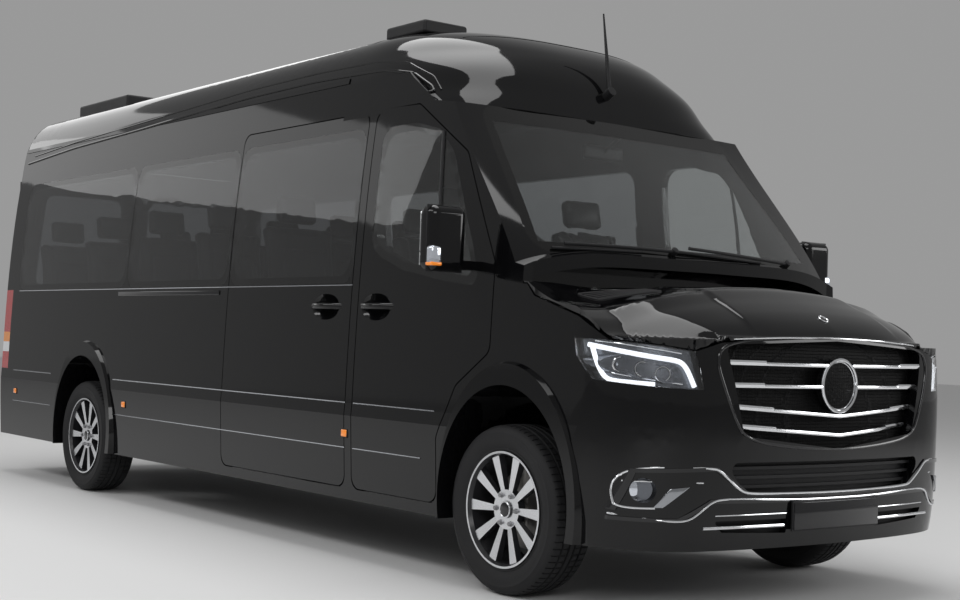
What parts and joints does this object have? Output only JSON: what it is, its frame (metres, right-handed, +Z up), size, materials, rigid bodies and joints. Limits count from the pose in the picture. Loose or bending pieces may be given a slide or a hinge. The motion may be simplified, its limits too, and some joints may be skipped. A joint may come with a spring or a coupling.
{
  "type": "minibus",
  "caption": "Long high-roof minibus with hinged front and rear doors, opening bonnet, sliding side door, steered front wheels, turning wheels and a glazed, seated cabin.",
  "frame": {"origin": "on the floor under the middle of the vehicle's length and width", "axes": "+X forward to the nose, +Y to the vehicle's left, +Z up"},
  "size_m": [6.828, 2.533, 2.6507],
  "materials": {
    "tyre": "matt tyre rubber",
    "alloy": "machined light alloy",
    "chassis_metal": "dark underbody paint",
    "glass": "dark tinted glass",
    "lamp_lens": "clear lamp cover",
    "lamp_unit": "dark lamp housing",
    "tail_lens": "red lamp cover",
    "chrome": "bright chrome",
    "black_plastic": "matt black plastic",
    "seat_cloth": "dark seat cloth",
    "floor_grey": "ribbed floor covering",
    "body_paint": "gloss black paint"
  },
  "bodies": {
    "body": {"antenna": "black_plastic", "arch_flares": "body_paint", "body_shell": "body_paint", "bumper_trim": "chrome", "cab_seats": "seat_cloth", "cabin_floor": "floor_grey", "dashboard": "black_plastic", "engine_block": "chassis_metal", "exhaust": "chassis_metal", "fog_lamps": "lamp_unit", "frame_rails": "chassis_metal", "front_bumper": "body_paint", "front_subframe": "chassis_metal", "front_wing_left": "body_paint", "front_wing_right": "body_paint", "fuel_tank": "chassis_metal", "grille_bars": "chrome", "grille_panel": "black_plastic", "headlamp_lens_left": "lamp_lens", "headlamp_lens_right": "lamp_lens", "headlamp_unit_left": "lamp_unit", "headlamp_unit_right": "lamp_unit", "intake_grille": "black_plastic", "passenger_seats": "seat_cloth", "rear_axle": "chassis_metal", "rear_bumper": "body_paint", "roof_panel": "body_paint", "roof_unit": "body_paint", "seat_frames": "chassis_metal", "side_glass_left": "glass", "side_glass_right": "glass", "side_panel_left": "body_paint", "side_panel_right": "body_paint", "sliding_door": "body_paint", "sliding_door_glass": "glass", "steering_wheel": "black_plastic", "tail_lamp_left": "tail_lens", "tail_lamp_right": "tail_lens", "windscreen": "glass"},
    "front_door_right": {"front_door_right": "body_paint", "front_door_glass_right": "glass", "door_mirror_right": "body_paint"},
    "rear_door_right": {"rear_door_right": "body_paint", "rear_door_glass_right": "glass"},
    "knuckle_right": {"knuckle_right": "chassis_metal"},
    "wheel_front_right": {"tyre_front_right": "tyre", "rim_front_right": "alloy"},
    "wheel_rear_right": {"tyre_rear_right": "tyre", "rim_rear_right": "alloy"},
    "front_door_left": {"front_door_left": "body_paint", "front_door_glass_left": "glass", "door_mirror_left": "body_paint"},
    "rear_door_left": {"rear_door_left": "body_paint", "rear_door_glass_left": "glass"},
    "knuckle_left": {"knuckle_left": "chassis_metal"},
    "wheel_front_left": {"tyre_front_left": "tyre", "rim_front_left": "alloy"},
    "wheel_rear_left": {"tyre_rear_left": "tyre", "rim_rear_left": "alloy"},
    "bonnet": {"bonnet": "body_paint"}
  },
  "joints": [
    {"name": "front_door_right_hinge", "type": "hinge", "parent": "body", "child": "front_door_right", "pos_m": [2.3875, -1.017, 1.2], "axis": [0, 0, 1], "range_deg": [0, 68]},
    {"name": "rear_door_right_hinge", "type": "hinge", "parent": "body", "child": "rear_door_right", "pos_m": [-3.3725, -0.88, 1.4], "axis": [0, 0, 1], "range_deg": [0, 180]},
    {"name": "steering_right", "type": "hinge", "parent": "body", "child": "knuckle_right", "pos_m": [2.4625, -0.825, 0.352], "axis": [0, 0, 1], "range_deg": [-35, 35]},
    {"name": "wheel_front_right_spin", "type": "hinge", "parent": "knuckle_right", "child": "wheel_front_right", "pos_m": [2.4625, -0.865, 0.352], "axis": [0, 1, 0], "continuous": true},
    {"name": "wheel_rear_right_spin", "type": "hinge", "parent": "body", "child": "wheel_rear_right", "pos_m": [-1.8625, -0.865, 0.352], "axis": [0, 1, 0], "continuous": true},
    {"name": "front_door_left_hinge", "type": "hinge", "parent": "body", "child": "front_door_left", "pos_m": [2.3875, 1.017, 1.2], "axis": [0, 0, -1], "range_deg": [0, 68]},
    {"name": "rear_door_left_hinge", "type": "hinge", "parent": "body", "child": "rear_door_left", "pos_m": [-3.3725, 0.88, 1.4], "axis": [0, 0, -1], "range_deg": [0, 180]},
    {"name": "steering_left", "type": "hinge", "parent": "body", "child": "knuckle_left", "pos_m": [2.4625, 0.825, 0.352], "axis": [0, 0, 1], "range_deg": [-35, 35]},
    {"name": "wheel_front_left_spin", "type": "hinge", "parent": "knuckle_left", "child": "wheel_front_left", "pos_m": [2.4625, 0.865, 0.352], "axis": [0, 1, 0], "continuous": true},
    {"name": "wheel_rear_left_spin", "type": "hinge", "parent": "body", "child": "wheel_rear_left", "pos_m": [-1.8625, 0.865, 0.352], "axis": [0, 1, 0], "continuous": true},
    {"name": "bonnet_hinge", "type": "hinge", "parent": "body", "child": "bonnet", "pos_m": [2.5745, 0, 1.445], "axis": [0, -1, 0], "range_deg": [0, 50]}
  ],
  "couplings": [
    {"joint": "steering_left", "follows": "steering_right", "ratio": 1}
  ]
}
